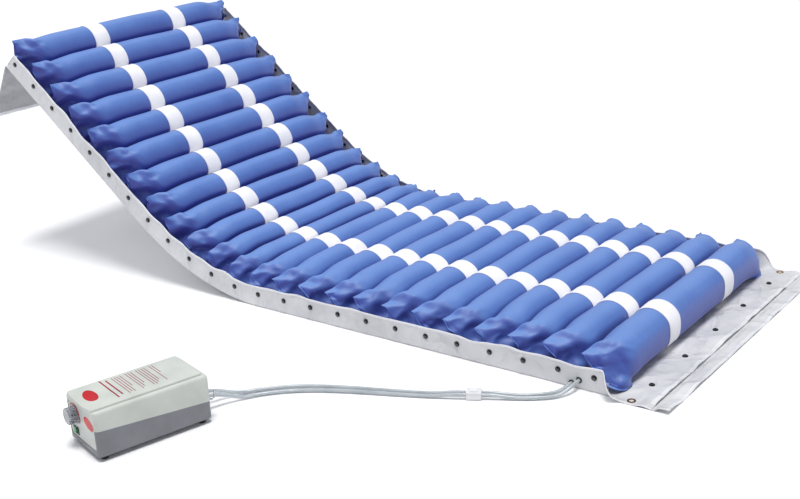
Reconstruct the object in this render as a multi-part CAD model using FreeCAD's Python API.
import FreeCAD, Part
import math
import os

# Alternating pressure relief mattress with its air pump.
# Frame: +X towards the foot end, -Y the side the pump stands on, +Z up.
# Origin: centre of the underside of the flat leg section. Millimetres.
# The mattress rests with its back section raised, as it lies on a profiling bed.

Vec = FreeCAD.Vector
ORIGIN = Vec(0, 0, 0)
X_DIR, Y_DIR, UP = Vec(1, 0, 0), Vec(0, 1, 0), Vec(0, 0, 1)
MINUS_Y = Vec(0, -1, 0)
SIDES = (-1, 1)
os.makedirs("parts", exist_ok=True)

# ---------------------------------------------------------------- dimensions
# cells are numbered from 1 at the head to N_CELLS at the foot
N_CELLS = 24
FLAT_FROM = 13               # first cell of the flat leg section
BACK_TO = 7                  # last cell of the straight back section
PITCH = 1000.0 / 12.0        # spacing of the air cells along the mattress
REST_ANGLES = [9.5, 7.5, 7.0, 7.0, 6.0, 2.2]   # folds 12|13, 11|12 ... 7|8
RAISED_MAX = 60.0            # most upright back angle
FOLD_ANGLES = [a * RAISED_MAX / sum(REST_ANGLES) for a in REST_ANGLES]
LEG_CELLS = range(FLAT_FROM, N_CELLS + 1)
BEND_CELLS = range(FLAT_FROM - 1, BACK_TO, -1)
BACK_CELLS = range(1, BACK_TO + 1)
LEG_MID = (FLAT_FROM + N_CELLS) / 2.0
BACK_MID = (1 + BACK_TO) // 2
LEG_HALF = len(LEG_CELLS) * PITCH / 2       # half-length of the leg section
BACK_HALF = BACK_TO * PITCH / 2             # half-length of the back section

SHEET_T = 2.0                # base sheet thickness
SHEET_Y = 405.0              # outer face of the side border
SKIRT_T = 2.5                # side border thickness
SKIRT_H = 52.0               # side border height
HEM_H = 4.0
HEM_OUT = 0.8                # hem stands proud of both border faces
FOLD_GAP = 0.35              # clearance each side of a fold line
FOLD_EXTRA = 0.35            # extra trim angle at a fold, degrees

CELL_Z0 = 3.9                # cell underside above the base underside
CELL_Z1 = 100.0              # cell crown
CELL_MID_Z = (CELL_Z1 + CELL_Z0) / 2.0
CELL_HALF_H = (CELL_Z1 - CELL_Z0) / 2.0
CELL_END = 390.0             # welded end seam
CELL_WALL = 1.0
CELL_GAP = 2.2               # clearance to the cell's pitch boundary
CELL_FOLD_H = 52.0           # height at which folded cells are kept clear
LAST_SHIFT = 12.0            # the last cell sits this much nearer the foot
STRAP_Y = 146.0              # centre of each retaining strap
STRAP_W = 52.0
STRAP_T = 1.0
STRAP_GAP = 0.3

STUD_Z = 32.0                # press-stud height on the side border
STUD_CAP_R = 6.5
STUD_POST_R = 4.6
STUD_POST_L = 2.0
STUD_DOME_H = 1.2
STUD_SHANK_R = 1.8
STUD_HOLE_R = 2.0

FOOT_BORDER = 91.0           # flat border beyond the leg section
FOOT_BORDER_Y = 420.0
FOOT_STUD_X = 545.0
FOOT_STUD_Y = [-320.0, -160.0, 0.0, 160.0, 320.0]
EYELET_X, EYELET_Y = 541.0, 404.0
EYELET_R = 5.0
EYELET_TUBE_R = 5.9
EYELET_RIM_R = 9.0
FOOT_FLAP = 31.0
FOOT_FLAP_Y = 418.0
FOOT_FLAP_GAP = 6.0
HEAD_IN = 18.0               # sheet's head edge lies this far under the first cell
HEAD_FLAP = 172.0
HEAD_FLAP_GAP = 6.0          # from the sheet edge to the hinge, and on to the flap
HEAD_FLAP_ANGLE = 99.0       # hanging flap, measured from the back plane
HEAD_HEM = 12.0

LINE_R = 4.0                 # air line and hose outside radius
LINE_BORE_R = LINE_R - 1.4
LINE_Y = -396.0
LINE_Z = {"a": 9.0, "b": 19.0}
LINE_END_IN = 3.4            # line stops short of each fold
LINE_HEAD_IN = 26.0
LINE_FOOT_IN = 14.0
SPIGOT_X = {"a": 407.0, "b": 424.0}         # hose connections near the foot
SPIGOT_R, SPIGOT_BORE_R = 2.5, 1.5


# -------------------------------------------------------------------- helpers
def save(name, solids):
    shape = solids[0] if len(solids) == 1 else Part.makeCompound(solids)
    shape.exportStep("parts/%s.step" % name)


def box(x0, x1, y0, y1, z0, z1):
    return Part.makeBox(x1 - x0, y1 - y0, z1 - z0, Vec(x0, y0, z0))


def cylinder(radius, start, direction, length):
    return Part.makeCylinder(radius, length, start, direction)


def prism(points, depth):
    return Part.Face(Part.makePolygon(points + [points[0]])).extrude(depth)


def single(shape):
    """The solid itself where a boolean result holds just one."""
    return shape.Solids[0] if len(shape.Solids) == 1 else shape


def edges_along(shape, direction):
    return [e for e in shape.Edges
            if abs(e.tangentAt(e.FirstParameter).dot(direction)) > 0.99]


def rounded(x0, x1, y0, y1, z0, z1, upright_r, top_r):
    """Box with its upright edges rounded, then its top edges."""
    solid = box(x0, x1, y0, y1, z0, z1)
    solid = solid.makeFillet(upright_r, edges_along(solid, UP))
    top = [e for e in solid.Edges
           if abs(e.BoundBox.ZMin - z1) < 1e-6 and abs(e.BoundBox.ZMax - z1) < 1e-6]
    return solid.makeFillet(top_r, top)


# ------------------------------------------------- the line the mattress lies on
def lay_out_cells():
    """Base centre and angle (x, z, degrees) of each cell's piece of sheet."""
    places = {cell: ((cell - LEG_MID) * PITCH, 0.0, 0.0) for cell in LEG_CELLS}
    x, z, angle = -LEG_HALF, 0.0, 0.0
    for fold, cell in enumerate(range(FLAT_FROM - 1, 0, -1)):
        if fold < len(REST_ANGLES):
            angle += REST_ANGLES[fold]
        run = PITCH * math.cos(math.radians(angle))
        rise = PITCH * math.sin(math.radians(angle))
        places[cell] = (x - 0.5 * run, z + 0.5 * rise, angle)
        x, z = x - run, z + rise
    return places


SHEET_PLACES = lay_out_cells()
# the tubes and their straps differ only at the last cell
TUBE_PLACES = dict(SHEET_PLACES)
TUBE_PLACES[N_CELLS] = (SHEET_PLACES[N_CELLS][0] + LAST_SHIFT, 0.0, 0.0)


def at_cell(shape, cell, places=SHEET_PLACES):
    """Puts a shape drawn about a cell's own base centre at that cell."""
    x, z, angle = places[cell]
    moved = shape.copy()
    moved.rotate(ORIGIN, Y_DIR, angle)
    moved.translate(Vec(x, 0, z))
    return moved


def feeds(cell):
    """Line a feeds the odd cells, line b the even cells."""
    return "a" if cell % 2 else "b"


# ------------------------------------------------------------------ air cells
# inset from the end seam, width factor, height factor
TUBE_SECTIONS = [(0, 0.06, 0.94), (12, 0.34, 0.93), (30, 0.74, 0.95),
                 (55, 0.96, 0.99), (75, 1.0, 1.0)]


def half_width(cell):
    """Half-width that clears the neighbours at the cell's sharpest fold."""
    bend = max([0.0] + [angle for fold, angle in enumerate(FOLD_ANGLES)
                        if cell in (FLAT_FROM - 1 - fold, FLAT_FROM - fold)])
    return PITCH / 2 - CELL_FOLD_H * math.tan(math.radians(bend / 2)) - CELL_GAP


def oval(half_w, half_h, y):
    """Upright elliptical wire across the Y axis; half_h is the larger."""
    ellipse = Part.Ellipse(Vec(0, y, CELL_MID_Z + half_h), Vec(half_w, y, CELL_MID_Z),
                           Vec(0, y, CELL_MID_Z))
    return Part.Wire([ellipse.toShape()])


def tube_solid(half_w, wall):
    """Inflated tube, set in by wall, whose ends draw in to a thin upright seam."""
    half = [(CELL_END - inset, fw, fh) for inset, fw, fh in TUBE_SECTIONS]
    rows = [(-y, fw, fh) for y, fw, fh in half] + half[::-1]
    wires = [oval(max(half_w * fw - wall, 1.0), (CELL_HALF_H - wall) * fh,
                  y - math.copysign(1.4 * wall, y)) for y, fw, fh in rows]
    return single(Part.makeLoft(wires, True, True))


cell_cache = {}              # hollow tubes by half-width


def air_cell(cell):
    half_w = round(half_width(cell), 3)
    if half_w not in cell_cache:
        outer = tube_solid(half_w, 0.0)
        cell_cache[half_w] = single(outer.cut(tube_solid(half_w, CELL_WALL)))
    return at_cell(cell_cache[half_w], cell, TUBE_PLACES)


def oval_bar(cell, grow, y0, y1):
    half_w, half_h = half_width(cell) + grow, CELL_HALF_H + grow
    return Part.makeLoft([oval(half_w, half_h, y0), oval(half_w, half_h, y1)], True, True)


def straps(cell):
    """Two bands around the tube."""
    bands = []
    for side in SIDES:
        y0, y1 = side * STRAP_Y - STRAP_W / 2, side * STRAP_Y + STRAP_W / 2
        outer = oval_bar(cell, STRAP_GAP + STRAP_T, y0, y1)
        inner = oval_bar(cell, STRAP_GAP, y0 - 1, y1 + 1)
        bands.append(at_cell(single(outer.cut(inner)), cell, TUBE_PLACES))
    return bands


# ---------------------------------------------------------------- press studs
def stud(point, out, shank_in, shank_l, washer_r, washer_in, washer_t):
    """Cap disc, socket post with a domed top, shank and inner washer.
    point is on the outer fabric face, out points away from the fabric,
    the *_in depths are measured back from that face."""
    cap = cylinder(STUD_CAP_R, point + out * 0.05, out, 0.95)
    post = cylinder(STUD_POST_R, point + out * 0.9, out, 0.1 + STUD_POST_L)
    top = point + out * (1.0 + STUD_POST_L)
    ball_r = (STUD_POST_R ** 2 + STUD_DOME_H ** 2) / (2 * STUD_DOME_H)
    ball = Part.makeSphere(ball_r, top + out * (STUD_DOME_H - ball_r))
    dome = ball.common(cylinder(STUD_POST_R, top - out * 0.05, out, 3))
    shank = cylinder(STUD_SHANK_R, point - out * shank_in, out, shank_l)
    washer = cylinder(washer_r, point - out * washer_in, out, washer_t)
    return single(cap.fuse([post.fuse(dome), shank, washer]).removeSplitter())


def side_studs(cell):
    return [at_cell(stud(Vec(0, side * SHEET_Y, STUD_Z), Vec(0, side, 0),
                         shank_in=SKIRT_T + 0.6, shank_l=SKIRT_T + 1.2,
                         washer_r=5.0, washer_in=SKIRT_T + 0.95, washer_t=0.85), cell)
            for side in SIDES]


def foot_stud(y):
    return stud(Vec(FOOT_STUD_X, y, SHEET_T), UP, shank_in=1.7, shank_l=2.2,
                washer_r=6.0, washer_in=SHEET_T - 0.05, washer_t=0.6)


# ----------------------------------------------------------------- base sheet
def channel(x0, x1):
    """Flat sheet with a hemmed side border standing up at each side."""
    sheet = box(x0, x1, -SHEET_Y, SHEET_Y, 0, SHEET_T)
    borders = []
    for side in SIDES:
        ya, yb = sorted((side * (SHEET_Y - SKIRT_T), side * SHEET_Y))
        borders.append(box(x0, x1, ya, yb, 0, SKIRT_H))
        borders.append(box(x0, x1, ya - HEM_OUT, yb + HEM_OUT, SKIRT_H - HEM_H, SKIRT_H))
    return sheet.fuse(borders)


def cut_stud_holes(shape, cells, centre):
    for cell in cells:
        for side in SIDES:
            start = Vec((cell - centre) * PITCH, side * (SHEET_Y + 5), STUD_Z)
            shape = shape.cut(cylinder(STUD_HOLE_R, start, Vec(0, -side, 0), 15))
    return shape


def trim_end(shape, x_edge, sign, fold):
    """Cuts one end back along a leaning plane near the fold line, so folding clears."""
    block = box(0, 400, -600, 600, -50, 400)
    if sign < 0:
        block.translate(Vec(-400, 0, 0))
    block.rotate(ORIGIN, Y_DIR, -sign * (fold / 2.0 + FOLD_EXTRA))
    block.translate(Vec(x_edge - sign * FOLD_GAP, 0, 0))
    return shape.cut(block)


def leg_sheet():
    """Sheet, side borders and the flat foot border."""
    legs = channel(-LEG_HALF - 5, LEG_HALF)
    legs = trim_end(legs, -LEG_HALF, -1, FOLD_ANGLES[0])
    legs = legs.fuse(box(LEG_HALF - 1, LEG_HALF + FOOT_BORDER,
                         -FOOT_BORDER_Y, FOOT_BORDER_Y, 0, SHEET_T))
    legs = cut_stud_holes(legs, LEG_CELLS, LEG_MID)
    # each hole has a shallow recess on the underside
    holes = [(FOOT_STUD_X, y, STUD_HOLE_R, 6.2) for y in FOOT_STUD_Y]
    holes += [(EYELET_X, side * EYELET_Y, EYELET_TUBE_R + 0.2, EYELET_RIM_R + 0.2)
              for side in SIDES]
    for x, y, hole_r, recess_r in holes:
        legs = legs.cut(cylinder(hole_r, Vec(x, y, -1), UP, 6))
        legs = legs.cut(cylinder(recess_r, Vec(x, y, -1), UP, 1.7))
    for line in "ab":
        start = Vec(SPIGOT_X[line], -415, LINE_Z[line])
        legs = legs.cut(cylinder(LINE_R + 0.3, start, Y_DIR, 13.5))
    return single(legs.removeSplitter())


def eyelet(side):
    def disc(radius, z, height):
        return cylinder(radius, Vec(EYELET_X, side * EYELET_Y, z), UP, height)

    ring = disc(EYELET_RIM_R, 0.05, 0.6)
    ring = ring.fuse([disc(EYELET_TUBE_R, 0.05, 2.6), disc(EYELET_RIM_R, 2.05, 0.6)])
    return single(ring.cut(disc(EYELET_R, -1, 6)).removeSplitter())


def back_sheet():
    """Straight sheet from the last fold to the head edge, under the first cell."""
    back = channel(-BACK_HALF + HEAD_IN, BACK_HALF + 5)
    back = trim_end(back, BACK_HALF, 1, FOLD_ANGLES[-1])
    back = cut_stud_holes(back, BACK_CELLS, BACK_MID)
    return at_cell(single(back.removeSplitter()), BACK_MID)


def head_flap():
    """Hemmed flap hanging from the head edge, hinged on the sheet's mid-plane."""
    flap = box(-HEAD_FLAP, -HEAD_FLAP_GAP, -SHEET_Y, SHEET_Y, -1.0, 1.0)
    hem = box(-HEAD_FLAP, -HEAD_FLAP + HEAD_HEM, -SHEET_Y, SHEET_Y, -1.5, 1.5)
    flap = flap.fuse(hem).removeSplitter()
    flap.rotate(ORIGIN, Y_DIR, -HEAD_FLAP_ANGLE)
    flap.translate(Vec(-BACK_HALF + HEAD_IN - HEAD_FLAP_GAP, 0, SHEET_T / 2))
    return at_cell(single(flap), BACK_MID)


def foot_flap():
    """Strip beyond the foot border."""
    x0 = LEG_HALF + FOOT_BORDER + FOOT_FLAP_GAP
    return box(x0, x0 + FOOT_FLAP, -FOOT_FLAP_Y, FOOT_FLAP_Y, 0.0, SHEET_T)


def bend_sheet(cell):
    """One cell's piece of sheet between two folds."""
    fold = FLAT_FROM - 1 - cell
    sheet = channel(-PITCH / 2 - 5, PITCH / 2 + 5)
    sheet = trim_end(sheet, -PITCH / 2, -1, FOLD_ANGLES[fold + 1])
    sheet = trim_end(sheet, PITCH / 2, 1, FOLD_ANGLES[fold])
    sheet = cut_stud_holes(sheet, [cell], cell)
    return at_cell(single(sheet.removeSplitter()), cell)


# ------------------------------------------------------------------ air lines
def air_line(line, x0, x1, nipples):
    """Tube along the -Y side, with a nipple at each x position in nipples."""
    z = LINE_Z[line]
    tube = cylinder(LINE_R, Vec(x0, LINE_Y, z), X_DIR, x1 - x0)
    tube = tube.cut(cylinder(LINE_BORE_R, Vec(x0 - 1, LINE_Y, z), X_DIR, x1 - x0 + 2))
    for x in nipples:
        tube = tube.fuse(cylinder(2.0, Vec(x, LINE_Y + LINE_R - 1.2, z), Y_DIR, 2.7))
    return tube


def line_pair(x0, x1, nipples):
    """Both air lines; nipples gives the x position of each cell's nipple."""
    return [air_line(line, x0, x1, [x for cell, x in nipples.items() if feeds(cell) == line])
            for line in "ab"]


def bend_lines(cell):
    pair = line_pair(-PITCH / 2 + LINE_END_IN, PITCH / 2 - LINE_END_IN, {cell: 0.0})
    return [at_cell(single(tube), cell) for tube in pair]


def back_lines():
    pair = line_pair(-BACK_HALF + LINE_HEAD_IN, BACK_HALF - LINE_END_IN,
                     {cell: (cell - BACK_MID) * PITCH for cell in BACK_CELLS})
    return [at_cell(single(tube), BACK_MID) for tube in pair]


def leg_lines():
    """The leg lines also carry the spigots for the twin hose."""
    pair = line_pair(-LEG_HALF + LINE_END_IN, LEG_HALF - LINE_FOOT_IN,
                     {cell: TUBE_PLACES[cell][0] for cell in LEG_CELLS})
    tubes = []
    for line, tube in zip("ab", pair):
        x, y, z = SPIGOT_X[line], LINE_Y - LINE_R, LINE_Z[line]
        tube = tube.fuse(cylinder(SPIGOT_R, Vec(x, y - 9, z), Y_DIR, 10.5))
        tube = tube.cut(cylinder(SPIGOT_BORE_R, Vec(x, y - 10, z), Y_DIR, 13))
        tubes.append(single(tube))
    return tubes


# ---------------------------------------------------------- mattress pieces
save("base_sheet_legs", [leg_sheet()])
save("corner_eyelets", [eyelet(side) for side in SIDES])
save("base_sheet_back", [back_sheet()])
save("head_flap", [head_flap()])
save("foot_flap", [foot_flap()])
for cell in BEND_CELLS:
    save("base_sheet_%02d" % cell, [bend_sheet(cell)])
    save("air_cell_%02d" % cell, [air_cell(cell)])
    save("retaining_straps_%02d" % cell, straps(cell))
    save("snap_studs_%02d" % cell, side_studs(cell))
    save("air_lines_%02d" % cell, bend_lines(cell))
for section, cells, end_studs in (("legs", LEG_CELLS, [foot_stud(y) for y in FOOT_STUD_Y]),
                                  ("back", BACK_CELLS, [])):
    for line in "ab":
        save("air_cells_%s_line_%s" % (section, line),
             [air_cell(cell) for cell in cells if feeds(cell) == line])
    save("retaining_straps_" + section, [band for cell in cells for band in straps(cell)])
    save("snap_studs_" + section, [s for cell in cells for s in side_studs(cell)] + end_studs)
save("air_lines_back", back_lines())
save("air_lines_legs", leg_lines())

# ------------------------------------------------------------------- the pump
# Drawn about its own centre on the floor, front towards -Y, then turned.
PUMP_AT = Vec(-225.0, -1000.0, 0.0)
PUMP_TURN = -16.0
HALF_W, HALF_D = 130.0 / 2, 245.0 / 2
FOOT_H = 10.0
CASE_H = 98.0                # without feet
CASE_WALL = 2.5
CASE_Z0, CASE_Z1 = FOOT_H, FOOT_H + CASE_H
FLOOR = CASE_Z0 + CASE_WALL  # inside of the tub's bottom
ROOF = CASE_Z1 - 8.6         # inside of the cover's roof
PART_FRONT, PART_REAR = 64.0, 46.0  # parting line height at front and rear
PART_MID = (PART_FRONT + PART_REAR) / 2
WINDOW_IN, WINDOW_LOW, WINDOW_TOP = 7.5, 9.0, 15.0   # front opening's margins
WINDOW_R = 11.0
PANEL_GAP = 0.4
FRONT_Y = -HALF_D + 1.2      # outer face of the front panel
FOOT_AT = [(sx * (HALF_W - 15), sy * (HALF_D - 17)) for sy in SIDES for sx in SIDES]
SCREW_HOLE_R = 1.9
LUG_X, LUG_Y, LUG_Z, LUG_R = 30.0, HALF_D + 4.5, 86.0, 4.0
WIRE_R = 2.0
ARM_X, ARM_L = 46.0, 40.0    # hanger arms
HOOK_R = 7.0
PORT_OFFSET, PORT_Z = 12.0, 30.0
PORT_X = (-PORT_OFFSET, PORT_OFFSET)
KNOB_X, KNOB_Z = -30.0, 68.0
SWITCH_X, SWITCH_Z = -33.0, 33.0
ROCKER_Y = FRONT_Y + 3.0     # rocker pivot
# rocker outline about its pivot (x, y), with a shallow V front face
ROCKER_OUTLINE = [(-7.9, -6.6), (0.0, -4.9), (7.9, -6.6), (7.6, -2.0),
                  (4.0, 2.6), (-4.0, 2.6), (-7.6, -2.0)]
# dial scale ring pieces: start angle, end angle, ring width
DIAL_SCALE = [(-38, 8, 4.2), (12, 78, 3.4), (82, 128, 2.6), (132, 160, 1.8)]
DIAL_R = 23.5
PRINT_T = 0.3
PIN_X, PIN_Y = -7.25, 52.0   # compressor arm's pivot pin
VALVE_X, VALVE_Y = 36.0, -40.0
# board parts: x, y, width, depth, height
BOARD_PARTS = [(-50, -88, 14, 16, 15), (-30, -86, 10, 10, 12), (-14, -84, 12, 8, 6),
               (-48, -62, 18, 10, 8), (-24, -60, 8, 8, 14)]
BOARD_POSTS = [(-51, -47), (1, -47), (-51, -89.5), (1, -89.5)]


def save_pump(name, *shapes):
    """Saves pump pieces, turned and moved to where the pump stands."""
    solids = []
    for shape in shapes:
        moved = single(shape).copy()
        moved.rotate(ORIGIN, UP, PUMP_TURN)
        moved.translate(PUMP_AT)
        solids.append(moved)
    save("pump_" + name, solids)


def around_switch(half_x, y0, y1, half_z):
    """Box centred on the switch, y measured from the panel face."""
    return box(SWITCH_X - half_x, SWITCH_X + half_x, FRONT_Y + y0, FRONT_Y + y1,
               SWITCH_Z - half_z, SWITCH_Z + half_z)


def front_plate(y0, y1, gap):
    """Plate with rounded corners, smaller than the front opening by gap all round."""
    half_x = HALF_W - WINDOW_IN - gap
    plate = box(-half_x, half_x, y0, y1,
                CASE_Z0 + WINDOW_LOW + gap, CASE_Z1 - WINDOW_TOP - gap)
    return plate.makeFillet(WINDOW_R - gap, edges_along(plate, Y_DIR))


def case_shell():
    """Hollow case with a raised crown, a scooped top and the front opening."""
    outer = rounded(-HALF_W, HALF_W, -HALF_D, HALF_D, CASE_Z0, CASE_Z1 - 5, 9.0, 6.0)
    crown = rounded(-HALF_W + 9, HALF_W - 9, -HALF_D, HALF_D - 8,
                    CASE_Z1 - 12, CASE_Z1, 6.0, 3.0)
    outer = outer.fuse(crown).removeSplitter()
    scoop_r = 260.0
    scoop = cylinder(scoop_r, ORIGIN, Y_DIR, 300.0)
    scoop.rotate(ORIGIN, X_DIR, 6.0)
    scoop.translate(Vec(0, -HALF_D - 30, CASE_Z1 - 9.0 + scoop_r))
    outer = outer.cut(scoop)
    inner = rounded(-HALF_W + CASE_WALL, HALF_W - CASE_WALL,
                    -HALF_D + CASE_WALL, HALF_D - CASE_WALL, FLOOR, ROOF, 6.5, 4.0)
    inner = inner.fuse(rounded(-HALF_W + 12, HALF_W - 12, -HALF_D + 66, HALF_D - 11,
                               CASE_Z1 - 14, CASE_Z1 - 2.6, 4.0, 2.0))
    window = front_plate(-HALF_D - 10, -HALF_D + CASE_WALL + 6, 0.0)
    return outer.cut(inner).cut(window)


def parting_block(z0, z1, height):
    """Large block tilted with the parting plane, which is higher at the front."""
    block = box(-300, 300, -300, 300, z0, z1)
    slope = math.degrees(math.atan((PART_FRONT - PART_REAR) / (2 * HALF_D)))
    block.rotate(ORIGIN, X_DIR, -slope)
    block.translate(Vec(0, 0, height))
    return block


def top_cover(shell):
    """Upper case with screw towers and the hanger lugs on its rear wall."""
    cover = shell.common(parting_block(0, 400, PART_MID))
    for x, y in FOOT_AT:
        tower = cylinder(4.5, Vec(x, y, FLOOR + 0.2), UP, ROOF - FLOOR + 0.4)
        cover = cover.fuse(tower).cut(cylinder(1.6, Vec(x, y, CASE_Z0), UP, 19))
    for x in (-LUG_X, LUG_X):
        lug = box(x - 3, x + 3, HALF_D - 1.5, LUG_Y, LUG_Z - LUG_R, LUG_Z + LUG_R)
        lug = lug.fuse(cylinder(LUG_R, Vec(x - 3, LUG_Y, LUG_Z), X_DIR, 6))
        eye = cylinder(WIRE_R + 0.08, Vec(x - 4, LUG_Y, LUG_Z), X_DIR, 8)
        cover = cover.fuse(lug).cut(eye)
    return cover.removeSplitter()


def bottom_tub(shell):
    """Lower case with screw holes and rear openings for ports and mains inlet."""
    tub = shell.common(parting_block(-400, 0, PART_MID - 0.1))
    for x, y in FOOT_AT:
        tub = tub.cut(cylinder(SCREW_HOLE_R, Vec(x, y, CASE_Z0 - 1), UP, 6))
    for x in PORT_X:
        tub = tub.cut(cylinder(5.1, Vec(x, HALF_D - 5, PORT_Z), Y_DIR, 10))
    return tub.cut(box(34, 54, HALF_D - 5, HALF_D + 5, 23, 35)).removeSplitter()


def front_panel():
    """Panel with openings for the knob shaft and the switch."""
    panel = front_plate(FRONT_Y, FRONT_Y + 3.0, PANEL_GAP)
    panel = panel.cut(cylinder(4.2, Vec(KNOB_X, FRONT_Y - 5, KNOB_Z), Y_DIR, 12))
    return panel.cut(around_switch(10, -5, 8, 6.5))


def label_prints():
    """Dial scale ring pieces and one plain oval."""
    prints = []
    centre = Vec(KNOB_X, FRONT_Y - 1, KNOB_Z)
    steps = 12
    for start, end, width in DIAL_SCALE:
        ring = cylinder(DIAL_R, Vec(KNOB_X, FRONT_Y - 0.35, KNOB_Z), Y_DIR, PRINT_T)
        ring = ring.cut(cylinder(DIAL_R - width, centre, Y_DIR, 2))
        points = [centre]
        for j in range(steps + 1):
            turn = math.radians(start + (end - start) * j / steps)
            points.append(centre + Vec(40 * math.cos(turn), 0, 40 * math.sin(turn)))
        prints.append(ring.common(prism(points, Vec(0, 2, 0))))
    outline = Part.Ellipse(ORIGIN, 21.0, 11.5).toShape()
    label = Part.Face(Part.Wire([outline])).extrude(Vec(0, 0, PRINT_T))
    label.rotate(ORIGIN, X_DIR, 90)
    label.rotate(ORIGIN, Y_DIR, 12)
    label.translate(Vec(33, FRONT_Y - 0.05, 70))
    return prints + [label]


def knob():
    """Hollow knob with ten grip scoops, a skirt and a bored hub."""
    height = 17.0
    skirt = cylinder(19.5, ORIGIN, MINUS_Y, 4.0)
    body = cylinder(17.0, ORIGIN, MINUS_Y, height)
    rim = [e for e in body.Edges if abs(e.BoundBox.YMax + height) < 1e-6]
    body = body.makeFillet(2.2, rim)
    for j in range(10):
        turn = 2 * math.pi * (j + 0.5) / 10
        start = Vec(18.6 * math.cos(turn), -4.0, 18.6 * math.sin(turn))
        body = body.cut(cylinder(3.6, start, MINUS_Y, 20))
    body = body.fuse(skirt)
    body = body.cut(cylinder(13.5, Vec(0, 0.1, 0), MINUS_Y, 12.0))
    body = body.fuse(cylinder(5.6, Vec(0, -0.2, 0), MINUS_Y, 14.0))
    body = body.cut(cylinder(3.05, Vec(0, 0.5, 0), MINUS_Y, 11.0))
    body = single(body.removeSplitter())
    body.translate(Vec(KNOB_X, FRONT_Y - 0.8, KNOB_Z))
    return body


def valve_shaft():
    """Knob shaft with a collar and a cross hole."""
    shaft = cylinder(3.0, Vec(KNOB_X, FRONT_Y - 10.0, KNOB_Z), Y_DIR, 34.0)
    shaft = shaft.fuse(cylinder(5.0, Vec(KNOB_X, FRONT_Y + 12, KNOB_Z), Y_DIR, 3.0))
    shaft = shaft.cut(cylinder(1.2, Vec(KNOB_X - 6, FRONT_Y + 20, KNOB_Z), X_DIR, 12))
    return shaft.removeSplitter()


def switch_housing():
    """Flanged box with two rear terminals and the rocker's pivot hole."""
    housing = around_switch(11.5, -1.3, -0.05, 8)
    housing = housing.fuse(around_switch(9.8, -1.0, 16, 6.3))
    housing = housing.cut(around_switch(8.6, -5, 9, 5.1))
    for x in (SWITCH_X - 5, SWITCH_X + 5):
        housing = housing.fuse(box(x - 0.4, x + 0.4, FRONT_Y + 15.5, FRONT_Y + 23,
                                   SWITCH_Z - 2.4, SWITCH_Z + 2.4))
    pivot = cylinder(1.05, Vec(SWITCH_X, ROCKER_Y, SWITCH_Z - 6.0), UP, 12.0)
    return housing.cut(pivot).removeSplitter()


def rocker():
    """Rocker pinned across its middle and tipped to one side."""
    height = 9.4
    rocking = prism([Vec(SWITCH_X + x, ROCKER_Y + y, SWITCH_Z - height / 2)
                     for x, y in ROCKER_OUTLINE], Vec(0, 0, height))
    pin = cylinder(1.0, Vec(SWITCH_X, ROCKER_Y, SWITCH_Z - 5.7), UP, 11.4)
    rocking = rocking.fuse(pin)
    rocking.rotate(Vec(SWITCH_X, ROCKER_Y, 0), UP, -8.0)
    return rocking.removeSplitter()


def rubber_foot(x, y):
    foot = Part.makeCone(7.0, 8.5, FOOT_H - 0.1, Vec(x, y, 0), UP)
    foot = foot.cut(cylinder(4.2, Vec(x, y, -1), UP, 7.0))
    return foot.cut(cylinder(SCREW_HOLE_R, ORIGIN + Vec(x, y, 0), UP, 12))


def case_screw(x, y):
    """Cross-head screw inside a foot."""
    screw = cylinder(3.6, Vec(x, y, 3.4), UP, 2.5)
    screw = screw.fuse(cylinder(1.5, Vec(x, y, 5.5), UP, 21.0))
    screw = screw.cut(box(x - 2.6, x + 2.6, y - 0.5, y + 0.5, 3.0, 4.6))
    screw = screw.cut(box(x - 0.5, x + 0.5, y - 2.6, y + 2.6, 3.0, 4.6))
    return screw.removeSplitter()


def air_port(x):
    """Bored port with a flange, an outer spigot and an inner cone."""
    def at(y):
        return Vec(x, HALF_D + y, PORT_Z)

    port = cylinder(4.9, at(-7), Y_DIR, 8.5).fuse(
        [cylinder(6.5, at(0.1), Y_DIR, 2.0), cylinder(SPIGOT_R, at(0), Y_DIR, 14.0),
         Part.makeCone(3.4, 2.5, 3.0, at(-6.5), MINUS_Y)])
    return port.cut(cylinder(SPIGOT_BORE_R, at(-20), Y_DIR, 50)).removeSplitter()


def mains_inlet():
    """Flanged socket with two pins."""
    inlet = box(34.2, 53.8, HALF_D - 12.2, HALF_D + 1.0, 23.2, 34.8)
    inlet = inlet.fuse(box(32.5, 55.5, HALF_D + 0.1, HALF_D + 1.2, 21.5, 36.5))
    inlet = inlet.cut(box(36.2, 51.8, HALF_D - 9.6, HALF_D + 3, 25.2, 32.8))
    for x in (40.5, 47.5):
        inlet = inlet.fuse(cylinder(1.2, Vec(x, HALF_D - 10.6, 29), Y_DIR, 9))
    return inlet.removeSplitter()


def hanger():
    """One bent wire with two arms and hooked ends."""
    rod = cylinder(WIRE_R, Vec(-ARM_X, LUG_Y, LUG_Z), X_DIR, 2 * ARM_X)
    pieces = []
    low = LUG_Z - ARM_L
    for x in (-ARM_X, ARM_X):
        pieces.append(Part.makeSphere(WIRE_R, Vec(x, LUG_Y, LUG_Z)))
        pieces.append(cylinder(WIRE_R, Vec(x, LUG_Y, LUG_Z), Vec(0, 0, -1), ARM_L))
        ring = Part.makeTorus(HOOK_R, WIRE_R, Vec(x, LUG_Y + HOOK_R, low), X_DIR)
        pieces.append(ring.common(box(x - 5, x + 5, LUG_Y - 5, LUG_Y + 20, low - 12, low)))
        pieces.append(cylinder(WIRE_R, Vec(x, LUG_Y + 2 * HOOK_R, low - 0.01), UP, 10))
    return rod.fuse(pieces).removeSplitter()


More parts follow.
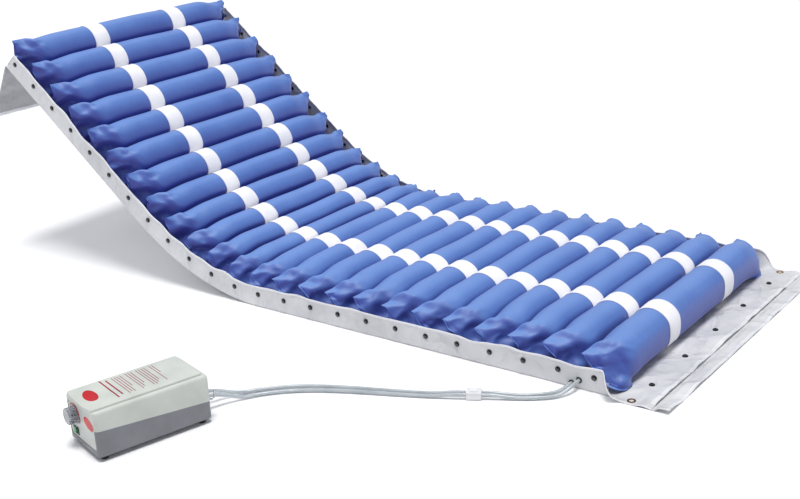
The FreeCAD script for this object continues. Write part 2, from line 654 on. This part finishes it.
def compressor():
    """Base plate, core, two facing cylinders and the arm's pivot pin."""
    core = box(-44, -14, 18, 46, FLOOR + 3.4, FLOOR + 40)
    core = core.fuse(box(-40, -18, 15, 18.1, FLOOR + 8, FLOOR + 36)).removeSplitter()
    return [box(-50, 14, -20, 58, FLOOR + 0.2, FLOOR + 3.2),
            core,
            cylinder(14.0, Vec(-17.5, -3, FLOOR + 18), Vec(-1, 0, 0), 24.0),
            cylinder(14.0, Vec(14, -3, FLOOR + 18), Vec(-1, 0, 0), 14.0),
            cylinder(1.2, Vec(PIN_X, PIN_Y, FLOOR + 3.4), UP, 30)]


def compressor_arm():
    """Swing arm with a block facing the core."""
    arm = box(-14.5, -5.0, -14, 44, FLOOR + 12, FLOOR + 26)
    arm = arm.cut(box(-20, -9.0, 8, 50, FLOOR, FLOOR + 60))
    arm = arm.fuse(box(-9.5, -5.0, 40, 56, FLOOR + 12, FLOOR + 26))
    arm = arm.fuse(box(-12.5, -9.0, 20, 36, FLOOR + 10, FLOOR + 30))
    return arm.cut(cylinder(1.25, Vec(PIN_X, PIN_Y, FLOOR), UP, 60)).removeSplitter()


def at_valve(radius, turn, z):
    return Vec(VALVE_X + radius * math.cos(turn), VALVE_Y + radius * math.sin(turn), FLOOR + z)


def valve_body():
    """Body of the rotary valve that swaps the two air lines, with three spigots."""
    valve = cylinder(22.0, at_valve(0, 0, 0.2), UP, 18.0)
    valve = valve.fuse(cylinder(18.0, at_valve(0, 0, 18), UP, 6.0))
    valve = valve.cut(cylinder(2.05, at_valve(0, 0, 6), UP, 30))
    for j in range(3):
        turn = 2 * math.pi * j / 3
        out = Vec(math.cos(turn), math.sin(turn), 0)
        valve = valve.fuse(cylinder(2.4, at_valve(17, turn, 20), out, 8))
    return valve.removeSplitter()


def valve_rotor():
    """Disc on a spindle with two through holes."""
    rotor = cylinder(15.0, at_valve(0, 0, 24.3), UP, 5.0)
    rotor = rotor.fuse(cylinder(2.0, at_valve(0, 0, 7), UP, 24.0))
    for turn in (0.0, math.pi):
        rotor = rotor.cut(cylinder(2.4, at_valve(9, turn, 20), UP, 12))
    return rotor.removeSplitter()


def circuit_board():
    """Board on four posts with its parts soldered on."""
    top = FLOOR + 6.6
    board = box(-54, 4, -92, -44, FLOOR + 5, top)
    for x, y, width, depth, height in BOARD_PARTS:
        board = board.fuse(box(x, x + width, y, y + depth, top - 0.1, top + height))
    for x, y in BOARD_POSTS:
        board = board.fuse(cylinder(2.0, Vec(x, y, FLOOR + 0.2), UP, 5.0))
    return board.removeSplitter()


shell = case_shell()
save_pump("top_cover", top_cover(shell))
save_pump("bottom_tub", bottom_tub(shell))
save_pump("front_panel", front_panel())
save_pump("label_prints", *label_prints())
save_pump("knob", knob())
save_pump("flow_valve_shaft", valve_shaft())
save_pump("switch_housing", switch_housing())
save_pump("rocker_switch", rocker())
save_pump("rubber_feet", *[rubber_foot(x, y) for x, y in FOOT_AT])
save_pump("case_screws", *[case_screw(x, y) for x, y in FOOT_AT])
save_pump("air_ports", *[air_port(x) for x in PORT_X])
save_pump("mains_inlet", mains_inlet())
save_pump("hanger_hook", hanger())
save_pump("compressor", *compressor())
save_pump("compressor_arm", compressor_arm())
save_pump("valve_body", valve_body())
save_pump("valve_rotor", valve_rotor())
save_pump("circuit_board", circuit_board())

# ------------------------------------------------------------------ twin hose
COUPLER_AT = Vec(262.0, -548.0, 0.0)
COUPLER_Z = 9.0
COUPLER_DIR = Vec(0.88, 0.475, 0.0).normalize()
COUPLER_HALF = 16.0          # half-length
TWIN = 6.0                   # tube offset at the coupler
HOSE_GAP = 0.3
LEAD = 13.5                  # straight length of tube over each spigot
HOSE_FLOOR = 4.3             # centre height of a tube lying on the floor


def bezier(p0, p1, p2, p3, t):
    u = 1 - t
    return p0 * (u ** 3) + p1 * (3 * u * u * t) + p2 * (3 * u * t * t) + p3 * (t ** 3)


def ease(t):
    t = min(1.0, max(0.0, t))
    return t * t * (3 - 2 * t)


def sideways(direction):
    return Vec(-direction.y, direction.x, 0)


def hose_run(start, end, reach, drop, rise):
    """One tube: a floor-level sweep between two straight ends.
    start and end are (floor point, direction, sideways offset, height); reach
    sets the curve, drop and rise the lengths over which the height changes."""
    point0, dir0, off0, z0 = start
    point1, dir1, off1, z1 = end
    end0 = point0 + sideways(dir0) * off0 + Vec(0, 0, z0)
    end1 = point1 + sideways(dir1) * off1 + Vec(0, 0, z1)
    sweep0, sweep1 = point0 + dir0 * LEAD, point1 - dir1 * LEAD
    curve = (sweep0, sweep0 + dir0 * reach, sweep1 - dir1 * reach, sweep1)
    length = (sweep1 - sweep0).Length * 1.08
    steps = 30
    points = [end0 + dir0 * (LEAD * j / 4.0) for j in range(4)]
    for i in range(steps + 1):
        t = 0.5 - 0.5 * math.cos(math.pi * i / steps)
        if i == 0:
            along = dir0
        elif i == steps:
            along = dir1
        else:
            along = bezier(*curve, min(1.0, t + 0.002)) - bezier(*curve, max(0.0, t - 0.002))
            along.normalize()
        offset = off0 + (off1 - off0) * ease(t)
        z = (HOSE_FLOOR + (z0 - HOSE_FLOOR) * (1 - ease(t * length / drop))
             + (z1 - HOSE_FLOOR) * ease((t - 1) * length / rise + 1))
        points.append(bezier(*curve, t) + sideways(along) * offset + Vec(0, 0, z))
    points += [end1 - dir1 * (LEAD * j / 4.0) for j in (3, 2, 1, 0)]
    spline = Part.BSplineCurve()
    spline.interpolate(Points=points)
    spine = Part.Wire([spline.toShape()])
    outer, inner = [
        spine.makePipeShell([Part.Wire([Part.Circle(points[0], dir0, radius).toShape()])],
                            True, False)
        for radius in (LINE_R, LINE_BORE_R)]
    return single(outer.cut(inner))


def twin_hose():
    """Two tubes from the pump to the coupler and two on to the leg lines."""
    turn = math.radians(PUMP_TURN)
    pump_rear = Vec(-math.sin(turn), math.cos(turn), 0)
    pump_end = PUMP_AT + pump_rear * (HALF_D + 2.6)
    coupler_in = COUPLER_AT - COUPLER_DIR * (COUPLER_HALF + HOSE_GAP)
    coupler_out = COUPLER_AT + COUPLER_DIR * (COUPLER_HALF + HOSE_GAP)
    line_end = Vec((SPIGOT_X["a"] + SPIGOT_X["b"]) / 2, LINE_Y - LINE_R - HOSE_GAP, 0)
    spigot_offset = (SPIGOT_X["b"] - SPIGOT_X["a"]) / 2
    hoses = []
    for side, line in ((1.0, "a"), (-1.0, "b")):
        hoses.append(hose_run((pump_end, pump_rear, PORT_OFFSET * side, PORT_Z),
                              (coupler_in, COUPLER_DIR, TWIN * side, COUPLER_Z),
                              reach=210.0, drop=95.0, rise=60.0))
        hoses.append(hose_run((coupler_out, COUPLER_DIR, TWIN * side, COUPLER_Z),
                              (line_end, Y_DIR, spigot_offset * side, LINE_Z[line]),
                              reach=62.0, drop=60.0, rise=60.0))
    return hoses


def coupler():
    """Two-way body with a raised tab and four nipples."""
    half = COUPLER_HALF
    body = rounded(-half, half, -13, 13, -7.5, 7.5, 3.0, 1.5)
    body = body.fuse(box(-7, 7, -9, 9, 7.0, 9.5))
    for y in (-TWIN, TWIN):
        body = body.fuse(cylinder(SPIGOT_R, Vec(-half - 9, y, 0), X_DIR, 2 * half + 18))
        body = body.cut(cylinder(SPIGOT_BORE_R, Vec(-half - 20, y, 0), X_DIR, 80))
    body.rotate(ORIGIN, UP, math.degrees(math.atan2(COUPLER_DIR.y, COUPLER_DIR.x)))
    body.translate(COUPLER_AT + Vec(0, 0, COUPLER_Z))
    return single(body.removeSplitter())


save("twin_air_hose", twin_hose())
save("hose_coupler", [coupler()])
